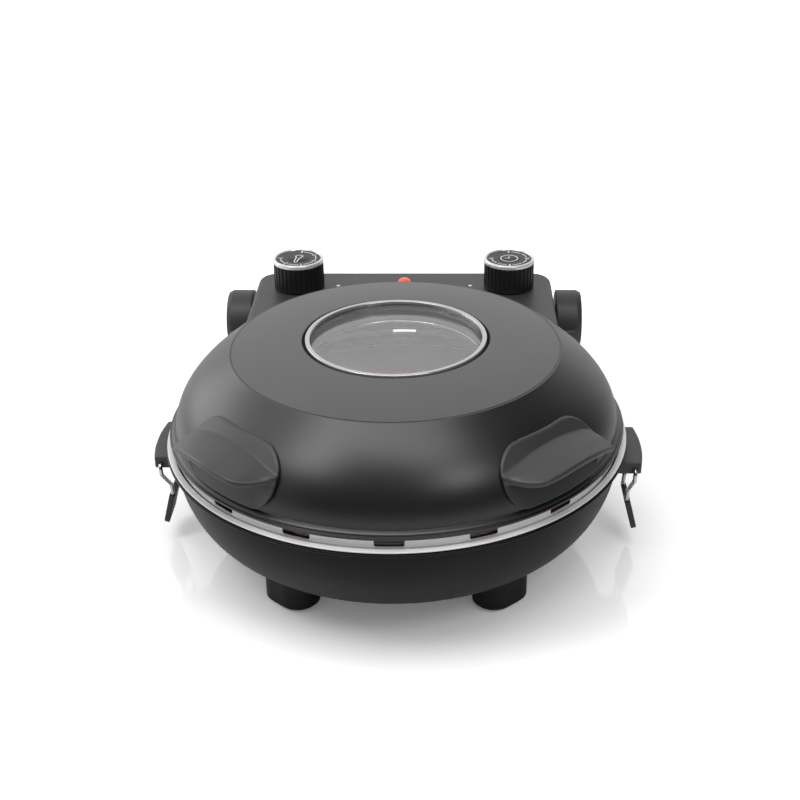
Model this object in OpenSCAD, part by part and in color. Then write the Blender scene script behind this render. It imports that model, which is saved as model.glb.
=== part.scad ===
// Round countertop cooker: a bowl base with a stone, and a domed lid hinged at the back.
// Millimetres, +Z up, +Y to the back. The origin is on the counter, under the middle of the whole.

/* [Tray ring] */
// Outer radius of the rolled steel ring
ring_r = 175; // [150:1:210]
// Width of the flat ledge outside the slotted wall
ledge_w = 9; // [7:0.5:14]
// Thickness of the steel sheet
sheet = 1.2; // [0.8:0.1:2]
// Height of the slotted wall above the ledge
ring_wall_h = 8; // [7:0.5:12]
// Number of vent slots around the wall
slot_count = 18; // [8:1:24]
// Length of one vent slot
slot_w = 20; // [10:1:24]
// Height of one vent slot
slot_h = 4.9; // [3:0.1:6]

/* [Stone] */
// Thickness of the baking stone
stone_t = 13; // [8:1:18]
// Depth of the stone's top below the ledge
stone_drop = 5; // [3:0.5:10]
// Width of the sloped sheet between the wall and the stone's pocket
slope_w = 8.8; // [6:0.2:14]
// Play between the stone and its pocket
stone_play = 0.7; // [0.4:0.1:2]

/* [Bowl] */
// Height of the bowl from its flat bottom to its top edge
bowl_h = 65.8; // [58:0.2:90]
// Radius of the flat bottom
bowl_flat_r = 124; // [90:1:145]
// Thickness of the bowl's wall
bowl_wall = 2; // [1.4:0.1:4]
// How far the ring reaches beyond the bowl's wall
bowl_inset = 5; // [4:0.5:9]
// Height of the rolled bead at the bowl's top edge
bead_h = 3.8; // [2.4:0.1:6]
// Height of the gasket between the bowl and the ring
gasket_h = 3; // [2:0.5:6]

/* [Feet] */
// Clear height under the bowl
foot_h = 30; // [15:1:50]
// Sideways distance of a foot from the middle
foot_x = 77; // [55:1:95]
// Distance of a foot to the front or the back
foot_y = 86; // [60:1:100]
// Radius of a foot's rounded ends
foot_r = 16; // [10:0.5:20]
// Length of the straight middle of a foot
foot_mid = 12; // [4:1:24]
// Thickness of the rubber pad under a foot
pad_t = 2; // [1:0.5:4]

/* [Lid] */
// Gap between the slotted wall and the lid
lid_gap = 0.3; // [0.3:0.1:1.5]
// Height of the lip at the lid's edge
lip_h = 4.7; // [3:0.1:8]
// How far the lip stands inside the ring's edge
lip_inset = 3; // [1:0.5:6]
// Width of the ledge between the lip and the dome
lip_w = 5.1; // [3:0.1:8]
// Height of the dome above the lip
dome_h = 56.9; // [45:0.1:80]
// Radius at which the dome's curve meets the top
crown_r = 121.8; // [90:0.2:140]
// Thickness of the lid's wall
lid_wall = 2; // [1.4:0.1:4]
// Rise of the top disc from its edge to the window
disc_rise = 5.7; // [2:0.1:12]

/* [Window] */
// Inner radius of the window's ring
window_r = 62.8; // [40:0.2:80]
// Width of the window's ring
bezel_w = 5.4; // [4.5:0.1:9]
// Thickness of the glass
glass_t = 4; // [3:0.5:6]

/* [Heaters] */
// Radius of the heating tubes
tube_r = 3.3; // [2.5:0.1:4]
// Distance of the lower heating loop inside the edge of the bowl's flat bottom
lower_in = 19; // [16:0.5:30]
// Distance of the upper heating loop inside the ring's edge
upper_in = 75; // [70:0.5:90]

/* [Handles] */
// Height of a handle's plate
handle_h = 40; // [34:1:44]
// Thickness of a handle's plate on the dome
plate_t = 3; // [2:0.5:5]
// Thickness of a handle's visor at its front
visor_t = 4.5; // [3:0.5:7]
// Extra reach of both visors
visor_extra = 0; // [-4:0.5:8]

/* [Controls] */
// How far the housing's sides stand inside the ring's edge
panel_in = 46; // [44:1:65]
// Length of the control housing from its front to its back
panel_l = 119; // [100:1:130]
// How far the housing reaches behind the ring
panel_back = 36.5; // [31:0.5:45]
// Height of the housing's top above the ledge
panel_z = 42; // [36:0.5:50]
// Radius of the housing's back corners
panel_corner = 16; // [8:1:18]
// Thickness of the housing's wall
panel_wall = 3.5; // [2.5:0.5:5]
// Radius of the pilot lamp
lamp_r = 6; // [4:0.5:8]

/* [Knobs] */
// Distance of a knob's middle from the housing's side
knob_in = 38; // [34:1:44]
// Radius of a knob
knob_r = 21.6; // [16:0.2:24]
// Height of a knob's grip
knob_h = 22; // [14:0.5:30]
// Number of grip grooves on a knob
grooves = 32; // [16:1:40]
// Radius of a knob's shaft
shaft_r = 3; // [2.5:0.1:4]

/* [Hinge] */
// Distance of the hinge axis behind the ring
hinge_back = 11; // [9:0.5:16]
// Height of the hinge axis above the ledge
hinge_up = 7; // [6:0.5:9]
// Length of a bracket's arm in front of the hinge axis
arm_l = 112; // [96:1:120]
// Radius of a bracket's round head
head_r = 26; // [22:0.5:28]
// Thickness of a bracket
bracket_t = 18.2; // [16:0.2:28]
// Radius of a hinge pin
pin_r = 4; // [3:0.1:5]
// Radial play of a running fit
play = 0.06; // [0.03:0.01:0.1]

/* [Latches] */
// Diameter of the latch wire
wire_d = 3.2; // [2.4:0.1:3.8]
// Distance of the wire's pivot outside the ring
latch_out = 5; // [4:0.5:8]
// Depth of the wire's pivot below the ledge
latch_down = 20; // [18:0.5:24]
// Length of a latch bracket
latch_l = 58; // [44:1:70]
// Distance of a latch from the middle of the side
latch_off = 4.5; // [0:0.5:10]
// Length of a latch's lever
lever_l = 29; // [22:0.5:36]
// Thickness of a lever
lever_t = 4.4; // [4:0.1:6]

/* [Hidden] */
$fn = 96;
eps = 0.01;

bead_r = ring_r + 0.5;
gland_l = 5.5;
rear_reach = ring_r + panel_back + gland_l;
bowl_y = -(rear_reach - bead_r) / 2;

bowl_top = foot_h + bowl_h;
rim_z = bowl_top + gasket_h + sheet;
bowl_r = ring_r - bowl_inset;
wall_r = ring_r - ledge_w;
wall_t = 1;
pocket_r = wall_r - wall_t - slope_w;
stone_r = pocket_r - stone_play;
stone_top = rim_z - stone_drop;
stone_z = stone_top - stone_t;
seat_w = 6.2;
bowl_steps = 14;

pan_z = foot_h + 22;
lower_loop_r = bowl_flat_r - lower_in;
pan_flat_r = lower_loop_r + 5;
pan_lip_r = pocket_r - seat_w;
lower_loop_z = pan_z + 14;
lower_gap = 13;
upper_gap = 12;

lip_z = rim_z + ring_wall_h + lid_gap;
ledge_z = lip_z + lip_h;
lip_r = ring_r - lip_inset;
dome_r = lip_r - lip_w;
dome_top = ledge_z + dome_h;
crown_s = 1 - sheet / dome_h;
flange_z = ledge_z + dome_h * crown_s;
flange_r = crown_r - 8;
dome_steps = 16;

bezel_r = window_r + bezel_w;
disc_in = bezel_r + 1;
disc_top = dome_top + disc_rise;
collar_z = disc_top - 5.4;
collar_r = window_r + 1.4;
glass_r = bezel_r - 1.7;
bezel_top = disc_top + 0.8;
reflector_top = dome_top - 11.3;
upper_loop_r = ring_r - upper_in;
upper_loop_z = reflector_top - 12.6;

hinge_y = ring_r + hinge_back;
hinge_z = rim_z + hinge_up;
panel_w = 2 * (ring_r - panel_in);
bracket_gap = 4;
bracket_x = panel_w / 2 + bracket_gap;
pin_seat = 15;
housing_top = rim_z + panel_z;
housing_y = ring_r + panel_back;
lug_r = 17;
lug_l = 27;
knob_x = panel_w / 2 - knob_in;
bay_x = knob_x - 13;
bay_y = ring_r;
bay_z = housing_top - panel_wall;
floor_t = 2;
knob_y = ring_r + 3;
lamp_y = knob_y + 6;
knob_z = housing_top + 1.3;
knob_top = knob_z + knob_h;
shaft_z = housing_top - 11;

latch_x = ring_r + latch_out;
latch_z = rim_z - latch_down;
latch_face = latch_x + 7.5;
latch_arc = 142;
rod_half = latch_l / 2 + 0.6;
elbow = 3;
neck = 4.3;
leg_run = 29.6;
leg_low = 7.3;
leg_end = 12;
corner_cut = 0.5;
converge = 45;
bend_in = 4;
tilt = 15;
leg_y = rod_half + elbow - leg_run * sin(converge);
wire_reach = elbow + neck + leg_run * cos(converge) + leg_low;
lever_in = wire_reach * sin(bend_in);
lever_down = wire_reach * cos(bend_in);

// The bowl's outer line: t = 0 at the top edge, 90 at the flat bottom.
function bowl_point(t) = [bowl_flat_r + (bowl_r - bowl_flat_r) * cos(t), bowl_top - bowl_h * sin(t)];
// The dome's outer radius at a share s of its height.
function dome_at(s) = crown_r + (dome_r - crown_r) * pow(1 - pow(s, 2.06), 1.075);
// The dome's outer radius at a height z above the counter.
function dome_z(z) = dome_at(max(0, min(1, (z - ledge_z) / dome_h)));
// Points of an arc in the radius and height plane.
function arc(r0, z0, r, a0, a1, n) =
    [for (i = [0:n]) let (a = a0 + (a1 - a0) * i / n) [r0 + r * cos(a), z0 + r * sin(a)]];
bowl_line = [for (i = [0:bowl_steps]) bowl_point(90 * i / bowl_steps)];
dome_line = [for (i = [0:dome_steps]) let (s = crown_s * i / dome_steps) [dome_at(s), ledge_z + dome_h * s]];

// The lid's reflector from its rim to the window, as its lower line.
reflector_line = [[lip_r - 8.1, lip_z], [lip_r - 11, lip_z + 2], [lip_r - 22, ledge_z + 15],
    [upper_loop_r + 12, reflector_top - 5.6], [collar_r, reflector_top - 1]];

// Handle sections from its inner to its outer end: angle from the front, then the plate's
// bottom and top, the visor's root and front heights above the lip, and its reach past the lip.
handle_rows = [[27.6, 20, 26, 23.2, 23, -8.5], [28.3, 12.5, 30.5, 23.6, 22.5, -7.5],
    [30, 5.5, 35, 24.6, 22.5, -2], [32, 1, 38, 26, 23.5, 6], [34, 0.2, 39.4, 27.4, 25, 11],
    [38, 0.2, 40.2, 29.6, 26.5, 12], [43, 0.2, 40.2, 30.8, 27.5, 11], [48, 0.2, 40.2, 30.8, 26, 9],
    [53, 0.2, 40.2, 29.4, 23, 7.5], [57, 2, 38.5, 27.4, 19.5, 6.5], [59.5, 9, 34, 25, 16.8, 6],
    [61, 14, 26.5, 23.6, 15, 6]];
handle_splits = 3;
plate_points = 7;

// A value on the smooth curve through four neighbouring ones.
function blend4(a, b, c, d, u) = b + u * (c - a) / 2 + u * u * (a - 2.5 * b + 2 * c - d / 2)
    + u * u * u * (1.5 * (b - c) + (d - a) / 2);
function row_at(i) = handle_rows[max(0, min(len(handle_rows) - 1, i))];
function handle_row(i, u) = [for (k = [0:5])
    blend4(row_at(i - 1)[k], row_at(i)[k], row_at(i + 1)[k], row_at(i + 2)[k], u)];
handle_sections = concat([for (i = [0:len(handle_rows) - 2]) for (j = [0:handle_splits - 1])
    handle_row(i, j / handle_splits)], [handle_rows[len(handle_rows) - 1]]);

module at_bowl() {
    translate([0, bowl_y, 0]) children();
}

module revolved(points) {
    rotate_extrude() polygon(points);
}

module bowl_solid() {
    revolved(concat([[0, bowl_top + eps], [bowl_r, bowl_top + eps]], bowl_line, [[0, foot_h]]));
}

module bowl_shell() {
    bead = bead_h / 2;
    inner = [for (p = bowl_line) [p[0] - bowl_wall, max(p[1], foot_h + bowl_wall)]];
    outer = [for (p = bowl_line) if (p[1] < bowl_top - bead_h) p];
    color([0.10, 0.10, 0.11]) at_bowl() revolved(concat(arc(bead_r - bead, bowl_top - bead, bead, 90, -90, 10),
        [[bowl_point(0)[0], bowl_top - bead_h]], outer, [[0, foot_h], [0, foot_h + bowl_wall]],
        [for (i = [bowl_steps:-1:0]) inner[i]]));
}

module rim_gasket() {
    color([0.05, 0.05, 0.05]) at_bowl() rotate_extrude()
        translate([bowl_r - 3.5, bowl_top]) square([5, gasket_h]);
}

module slot_outline(w, h) {
    square([w - h, h], center = true);
    for (side = [-1, 1]) translate([side * (w - h) / 2, 0]) circle(d = h, $fn = 32);
}

module tray_ring() {
    roll_r = 1.6;
    color([0.80, 0.80, 0.80]) at_bowl() difference() {
        revolved(concat([[pan_lip_r, stone_z], [pocket_r, stone_z], [pocket_r, stone_top],
            [wall_r - wall_t, rim_z], [wall_r - wall_t, rim_z + ring_wall_h],
            [wall_r, rim_z + ring_wall_h], [wall_r, rim_z], [wall_r + 0.9, rim_z],
            [wall_r + 1.2, rim_z - 0.4], [wall_r + 1.8, rim_z - 0.4], [wall_r + 2.1, rim_z]],
            arc(ring_r - roll_r, rim_z - roll_r, roll_r, 90, -180, 15),
            [[ring_r - 2 * roll_r, rim_z - sheet], [wall_r - 0.6, rim_z - sheet],
            [pocket_r + sheet, stone_top - 0.7], [pocket_r + sheet, stone_z - sheet],
            [pan_lip_r, stone_z - sheet]]));
        for (i = [0:slot_count - 1])
            rotate([0, 0, i * 360 / slot_count]) translate([0, -wall_r + 4, rim_z + 0.5 + slot_h / 2])
                rotate([90, 0, 0]) linear_extrude(6) slot_outline(slot_w, slot_h);
    }
}

module stone() {
    edge = 1.5;
    color([0.78, 0.77, 0.76]) at_bowl() revolved([[0, stone_z], [stone_r - edge, stone_z],
        [stone_r, stone_z + edge], [stone_r, stone_top - edge], [stone_r - edge, stone_top],
        [0, stone_top]]);
}

module reflector_pan() {
    lip = stone_z - sheet;
    color([0.70, 0.70, 0.70]) at_bowl() difference() {
        revolved([[0, pan_z], [pan_flat_r, pan_z], [pan_lip_r, lip - sheet], [pan_lip_r + 3, lip - sheet],
            [pan_lip_r + 3, lip], [pan_lip_r - 0.6, lip], [pan_flat_r - 0.4, pan_z + sheet],
            [0, pan_z + sheet]]);
        heater_legs(lower_loop_r, lower_loop_z, tube_r + 2.4, lower_gap);
    }
}

module pan_spacers() {
    color([0.55, 0.55, 0.55]) at_bowl() for (a = [45:90:315])
        rotate([0, 0, a]) translate([pan_flat_r - 22, 0, foot_h + bowl_wall])
            cylinder(r = 5, h = pan_z - foot_h - bowl_wall, $fn = 32);
}

module heater_legs(loop_r, z, r, gap) {
    for (side = [-1, 1])
        translate([side * loop_r * sin(gap), loop_r * cos(gap) - 5, z])
            rotate([-90, 0, 0]) cylinder(r = r, h = 45, $fn = 32);
}

module heater(loop_r, z, gap) {
    rotate([0, 0, 90 + gap]) translate([0, 0, z])
        rotate_extrude(angle = 360 - 2 * gap) translate([loop_r, 0]) circle(r = tube_r, $fn = 32);
    heater_legs(loop_r, z, tube_r + 1.2, gap);
}

module lower_heater() {
    color([0.45, 0.42, 0.40]) at_bowl() heater(lower_loop_r, lower_loop_z, lower_gap);
}

module loop_ring(loop_r, z) {
    translate([0, 0, z]) rotate_extrude() translate([loop_r, 0]) circle(r = tube_r, $fn = 32);
}

module lower_heater_clips() {
    color([0.60, 0.60, 0.60]) at_bowl() difference() {
        for (a = [30, 150, 210, 330]) rotate([0, 0, a])
            translate([lower_loop_r - 6, -4, pan_z + sheet])
                cube([9, 8, lower_loop_z - pan_z - sheet]);
        loop_ring(lower_loop_r, lower_loop_z);
    }
}

// A foot: two half-round ends on a straight middle, with a chamfer at the bottom.
module foot(sx, sy) {
    edge = 1.5;
    line = [[0, pad_t], [foot_r - edge, pad_t], [foot_r, pad_t + edge], [foot_r, foot_h + 12], [0, foot_h + 12]];
    color([0.08, 0.08, 0.08]) at_bowl() difference() {
        translate([sx * foot_x, sy * foot_y, 0]) rotate([0, 0, sx * sy * -atan(foot_x / foot_y)]) {
            for (side = [-1, 1]) translate([side * foot_mid / 2, 0, 0])
                rotate([0, 0, -90 * side]) rotate_extrude(angle = 180, $fn = 48) polygon(line);
            translate([-foot_mid / 2, 0, 0]) rotate([90, 0, 90]) linear_extrude(foot_mid)
                polygon(concat(line, [for (i = [3:-1:1]) [-line[i][0], line[i][1]]]));
        }
        bowl_solid();
    }
}

module foot_front_left() { foot(-1, -1); }
module foot_front_right() { foot(1, -1); }
module foot_rear_left() { foot(-1, 1); }
module foot_rear_right() { foot(1, 1); }

module foot_pads() {
    color([0.04, 0.04, 0.04]) at_bowl() for (sx = [-1, 1]) for (sy = [-1, 1])
        translate([sx * foot_x, sy * foot_y, 0]) cylinder(r = foot_r - 5, h = pad_t, $fn = 48);
}

module on_right(y) {
    translate([latch_x, y, latch_z]) children();
}

module latch_bracket() {
    low = 3.5;
    difference() {
        intersection() {
            translate([latch_face - latch_arc, -latch_off, latch_z - low])
                cylinder(r = latch_arc, h = low + 6, $fn = 180);
            translate([bowl_r - 20, -latch_off - latch_l / 2, latch_z - low])
                cube([60, latch_l, low + 6]);
        }
        bowl_solid();
        on_right(-latch_off - latch_l) rotate([-90, 0, 0])
            cylinder(r = wire_d / 2 + play, h = 2 * latch_l, $fn = 48);
        translate([latch_face - 2, -latch_off - latch_l, latch_z - low - 2])
            rotate([0, 45, 0]) translate([0, 0, -4]) cube([8, 2 * latch_l, 4]);
        for (i = [-1:1]) translate([bowl_r + 1.5, -latch_off + i * 12 - 4, latch_z + 5])
            cube([2, 8, 2]);
    }
}

module latch_bracket_right() {
    color([0.16, 0.16, 0.17]) at_bowl() latch_bracket();
}

module latch_bracket_left() {
    color([0.16, 0.16, 0.17]) at_bowl() rotate([0, 0, 180]) latch_bracket();
}

// A hinge bracket in the upright plane: an arm on the bowl's side and a round head.
module bracket_outline() {
    low = rim_z - 28;
    front = hinge_y - arm_l;
    polygon([[front, low], [front, rim_z - 9], [front + 43, rim_z - 9],
        [hinge_y - 25.5, hinge_z], [hinge_y, hinge_z], [hinge_y, hinge_z - head_r], [hinge_y - 46, low]]);
    translate([hinge_y, hinge_z]) circle(r = head_r);
}

module hinge_bracket(side) {
    cap = 4;
    color([0.12, 0.12, 0.13]) at_bowl() scale_side(side) difference() {
        translate([bracket_x, 0, 0]) union() {
            rotate([90, 0, 90]) linear_extrude(bracket_t) bracket_outline();
            translate([bracket_t, hinge_y, hinge_z]) rotate([0, 90, 0])
                cylinder(r1 = head_r, r2 = head_r - cap / 2, h = cap);
        }
        bowl_solid();
        translate([bracket_x - 1, hinge_y, hinge_z]) rotate([0, 90, 0])
            cylinder(r = pin_r, h = pin_seat + 1, $fn = 48);
    }
}

module scale_side(side) {
    mirror([side < 0 ? 1 : 0, 0, 0]) children();
}

module hinge_bracket_left() { hinge_bracket(-1); }
module hinge_bracket_right() { hinge_bracket(1); }

module hinge_pin(side) {
    color([0.70, 0.70, 0.72]) at_bowl() translate([side * (bracket_x + pin_seat), hinge_y, hinge_z])
        rotate([0, -90 * side, 0]) cylinder(r = pin_r, h = pin_seat + bracket_gap + lug_l - 2, $fn = 48);
}

module hinge_pin_left() { hinge_pin(-1); }
module hinge_pin_right() { hinge_pin(1); }

module lid_solid() {
    revolved(concat([[0, lip_z - 2], [lip_r, lip_z - 2], [lip_r, ledge_z]], dome_line, [[0, flange_z]]));
}

module lid_shell() {
    inner = [for (p = dome_line) [p[0] - 1.4 * lid_wall, min(p[1], flange_z - lid_wall)]];
    color([0.20, 0.20, 0.21]) at_bowl() revolved(concat([[lip_r - 8.1, lip_z], [lip_r, lip_z],
        [lip_r, ledge_z]], dome_line, [[flange_r, flange_z], [flange_r, flange_z - lid_wall]],
        [for (i = [dome_steps:-1:0]) inner[i]]));
}

module lid_disc() {
    collar = 1.3;
    color([0.24, 0.24, 0.25]) at_bowl() revolved([[disc_in, collar_z], [disc_in + collar, collar_z],
        [disc_in + collar, disc_top - 2.2], [flange_r, flange_z], [crown_r - 0.3, flange_z],
        [crown_r - 0.3, dome_top], [disc_in, disc_top]]);
}

module window_bezel() {
    r = 1.2;
    color([0.88, 0.88, 0.88]) at_bowl() revolved([[window_r, collar_z + glass_t],
        [glass_r + 0.1, collar_z + glass_t], [glass_r + 0.1, collar_z], [bezel_r, collar_z],
        [bezel_r, bezel_top - r], [bezel_r - r, bezel_top], [window_r + r, bezel_top],
        [window_r, bezel_top - r]]);
}

module window_glass() {
    color([0.75, 0.80, 0.80, 0.35]) at_bowl() translate([0, 0, collar_z]) cylinder(r = glass_r, h = glass_t);
}

module window_collar() {
    color([0.60, 0.60, 0.60]) at_bowl() revolved([[collar_r - sheet, reflector_top - 1],
        [collar_r, reflector_top - 1], [collar_r, collar_z - sheet], [disc_in + 1.3, collar_z - sheet],
        [disc_in + 1.3, collar_z], [collar_r - sheet, collar_z]]);
}

// Sheet of 1 mm on the upper side of a line.
module sheet_on(line) {
    revolved(concat(line, [for (i = [len(line) - 1:-1:0]) [line[i][0], line[i][1] + 1]]));
}

module reflector_skirt() {
    color([0.75, 0.75, 0.75]) at_bowl() sheet_on([for (i = [0:2]) reflector_line[i]]);
}

module lid_reflector() {
    seam = 0.1;
    color([0.75, 0.75, 0.75]) at_bowl() difference() {
        sheet_on([reflector_line[2] - [seam, 0], reflector_line[3], reflector_line[4]]);
        heater_legs(upper_loop_r, upper_loop_z, tube_r + 2.4, upper_gap);
    }
}

module upper_heater() {
    color([0.50, 0.25, 0.20]) at_bowl() heater(upper_loop_r, upper_loop_z, upper_gap);
}

module upper_heater_clips() {
    color([0.60, 0.60, 0.60]) at_bowl() difference() {
        for (a = [30, 150, 210, 330]) rotate([0, 0, a])
            translate([upper_loop_r - 4, -4, upper_loop_z]) cube([8, 8, 24]);
        loop_ring(upper_loop_r, upper_loop_z);
        revolved(concat(reflector_line, [[0, reflector_top - 1], [0, dome_top + 30],
            [lip_r, dome_top + 30], [lip_r, lip_z]]));
    }
}

// One closed section of a handle in the radius and height plane, from its row of values.
function handle_outline(row) =
    let (k = handle_h / 40, low = k * row[1], top = k * row[2], root = k * row[3], front = k * row[4],
        reach = lip_r + k * row[5] + visor_extra,
        up = min(3, (top - root) / 2), down = min(3, (root - low) / 2), half = visor_t / 2,
        mid = (dome_z(ledge_z + root) + plate_t + reach) / 2)
    [for (p = concat([for (j = [0:plate_points - 1]) let (z = low + (top - low) * j / (plate_points - 1))
            [dome_z(ledge_z + z) + 0.2, z]],
        [[dome_z(ledge_z + top) + plate_t - 0.8, top], [dome_z(ledge_z + top - 0.8) + plate_t, top - 0.8],
            [dome_z(ledge_z + root + up) + plate_t, root + up], [mid, (root + front) / 2 + half + 0.3],
            [reach - 1, front + half], [reach, front + half - 1], [reach, front - half + 1],
            [reach - 1, front - half], [mid, (root + front) / 2 - half],
            [dome_z(ledge_z + root - down) + plate_t, root - down],
            [dome_z(ledge_z + low) + plate_t, low]])) [p[0], ledge_z + p[1]]];

module handle(side) {
    n = plate_points + 11;
    rows = len(handle_sections);
    points = [for (row = handle_sections) for (p = handle_outline(row))
        [side * p[0] * sin(row[0]), -p[0] * cos(row[0]), p[1]]];
    quads = [for (i = [0:rows - 2]) for (j = [0:n - 1])
        let (a = i * n + j, b = i * n + (j + 1) % n, c = a + n, d = b + n)
        each [[a, c, b], [b, c, d]]];
    ends = [[for (j = [0:n - 1]) j], [for (j = [n - 1:-1:0]) (rows - 1) * n + j]];
    faces = concat(quads, ends);
    color([0.22, 0.22, 0.23]) at_bowl() polyhedron(points,
        side > 0 ? [for (f = faces) [for (k = [len(f) - 1:-1:0]) f[k]]] : faces, convexity = 6);
}

module handle_left() { handle(-1); }
module handle_right() { handle(1); }

module panel_outline(inset) {
    half = panel_w / 2 - inset;
    r = panel_corner - inset / 2;
    for (side = [-1, 1]) translate([side * (half - r), housing_y - inset - r]) circle(r = r, $fn = 32);
    translate([-half, housing_y - panel_l + inset]) square([2 * half, panel_l - panel_corner * 2]);
}

module panel_layer(inset, z, h) {
    translate([0, 0, z]) linear_extrude(h) panel_outline(inset);
}

module panel_body() {
    hull() {
        panel_layer(0, lip_z, panel_z - 5 - lip_z + rim_z);
        panel_layer(0.8, housing_top - 2.7, 0.1);
        panel_layer(2.4, housing_top - 0.8, 0.1);
        panel_layer(4.5, housing_top - 0.1, 0.1);
    }
}

module control_housing() {
    lug_x = panel_w / 2 - lug_l;
    color([0.13, 0.13, 0.14]) at_bowl() difference() {
        union() {
            panel_body();
            for (side = [-1, 1]) translate([side * lug_x, hinge_y, hinge_z]) rotate([0, side * 90, 0]) {
                cylinder(r = lug_r, h = lug_l);
                cylinder(r = 12, h = lug_l + bracket_gap - 0.5);
            }
        }
        lid_solid();
        translate([-bay_x, bay_y, lip_z - 2]) cube([2 * bay_x, housing_y - panel_wall - bay_y, bay_z - lip_z + 2]);
        for (side = [-1, 1]) {
            translate([side * (lug_x - 2), hinge_y, hinge_z]) rotate([0, side * 90, 0])
                cylinder(r = pin_r + play, h = 2 * lug_l, $fn = 48);
            translate([side * knob_x, knob_y, shaft_z - 1]) cylinder(r = shaft_r + play, h = 20, $fn = 48);
        }
        translate([0, lamp_y, bay_z - 5]) cylinder(r = lamp_r - 2, h = 20, $fn = 48);
        gland_place() cylinder(r = 6, h = 40, center = true, $fn = 48);
    }
}

module control_floor() {
    color([0.10, 0.10, 0.10]) at_bowl() translate([-bay_x, bay_y, lip_z])
        cube([2 * bay_x, housing_y - panel_wall - bay_y, floor_t]);
}

module gland_place() {
    translate([bay_x - 18, housing_y, lip_z + 16.7]) rotate([-90, 0, 0]) children();
}

module cord_gland() {
    color([0.06, 0.06, 0.06]) at_bowl() gland_place() difference() {
        union() {
            translate([0, 0, -panel_wall]) cylinder(r = 6, h = panel_wall + gland_l, $fn = 48);
            cylinder(r = 8, h = 2.5, $fn = 48);
        }
        translate([0, 0, -panel_wall - 1]) cylinder(r = 3, h = panel_wall + gland_l + 2, $fn = 48);
    }
}

module pilot_lamp() {
    rise = 5;
    stem = panel_wall + 2;
    color([0.75, 0.08, 0.04]) at_bowl() translate([0, lamp_y, housing_top])
        revolved(concat([[0, -stem], [lamp_r - 2, -stem], [lamp_r - 2, 0]],
            [for (a = [0:10:80]) [lamp_r * cos(a), rise * sin(a)]], [[0, rise]]));
}

module at_knob(side) {
    at_bowl() translate([side * knob_x, knob_y, 0]) children();
}

module knob_body(side) {
    color([0.07, 0.07, 0.07]) at_knob(side) difference() {
        revolved([[0, knob_z], [knob_r, knob_z], [knob_r, knob_top - 1], [knob_r - 1, knob_top], [0, knob_top]]);
        for (i = [0:grooves - 1]) rotate([0, 0, i * 360 / grooves])
            translate([knob_r + 0.3, 0, knob_z + 2]) cylinder(r = 1.1, h = knob_h + 2, $fn = 16);
        translate([0, 0, knob_z - 1]) cylinder(r = shaft_r, h = 16.5, $fn = 48);
    }
}

module knob_bezel(side) {
    out = knob_r + 0.3;
    color([0.88, 0.88, 0.88]) at_knob(side) revolved([[knob_r - 2.7, knob_top], [out - 0.4, knob_top],
        [out, knob_top + 0.8], [out, knob_top + 2.2], [out - 1.2, knob_top + 3.5],
        [knob_r - 2.1, knob_top + 3.5], [knob_r - 2.7, knob_top + 2.9]]);
}

module knob_dial(side) {
    color([0.05, 0.05, 0.05]) at_knob(side) translate([0, 0, knob_top])
        cylinder(r = knob_r - 2.7, h = 2.4);
}

module knob_shaft(side) {
    color([0.70, 0.70, 0.70]) at_knob(side) translate([0, 0, shaft_z])
        cylinder(r = shaft_r, h = knob_z + 15.5 - shaft_z, $fn = 48);
}

module knob_left_body() { knob_body(-1); }
module knob_left_bezel() { knob_bezel(-1); }
module knob_left_dial() { knob_dial(-1); }
module knob_left_shaft() { knob_shaft(-1); }
module knob_right_body() { knob_body(1); }
module knob_right_bezel() { knob_bezel(1); }
module knob_right_dial() { knob_dial(1); }
module knob_right_shaft() { knob_shaft(1); }

// Wire pieces that follow one another: each draws itself and places its children at its end.
module wire_run(l) {
    cylinder(d = wire_d, h = l, $fn = 32);
    translate([0, 0, l]) children();
}

module wire_elbow() {
    rotate([0, 0, 180]) rotate([90, 0, 0]) translate([-elbow, 0, 0])
        rotate_extrude(angle = 90) translate([elbow, 0]) circle(d = wire_d, $fn = 32);
    translate([elbow, 0, elbow]) rotate([0, 90, 0]) children();
}

module wire_corner(a) {
    translate([0, 0, corner_cut]) {
        sphere(d = wire_d + 0.2, $fn = 32);
        rotate([0, a, 0]) translate([0, 0, corner_cut]) children();
    }
}

module latch_wire() {
    rotate([0, bend_in, 0]) {
        translate([0, -rod_half, 0]) rotate([-90, 0, 0]) cylinder(d = wire_d, h = 2 * rod_half, $fn = 32);
        for (side = [-1, 1]) mirror([0, side < 0 ? 1 : 0, 0])
            translate([0, rod_half, 0]) rotate([0, 90, 0]) rotate([-90, 0, 0]) wire_elbow()
            wire_run(neck - corner_cut) wire_corner(converge) wire_run(leg_run - 2 * corner_cut)
            wire_corner(-converge) wire_run(leg_low - 2 * corner_cut)
            rotate([0, 0, 270]) wire_corner(bend_in + tilt) wire_run(leg_end - corner_cut);
    }
}

// The lever's face: rounded corners at its lower edge.
module lever_face() {
    half = leg_y + wire_d / 2 + 1;
    r = 5;
    translate([-half, -lever_l + r]) square([2 * half, lever_l - r - 1.6]);
    translate([-half + r, -lever_l]) square([2 * half - 2 * r, r]);
    for (side = [-1, 1]) translate([side * (half - r), -lever_l + r]) circle(r = r, $fn = 48);
}

// The lever's profile: a full round at its lower edge.
module lever_profile() {
    translate([-lever_t / 2, -lever_l + lever_t / 2]) square([lever_t, lever_l - lever_t / 2]);
    translate([0, -lever_l + lever_t / 2]) circle(d = lever_t, $fn = 48);
}

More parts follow.
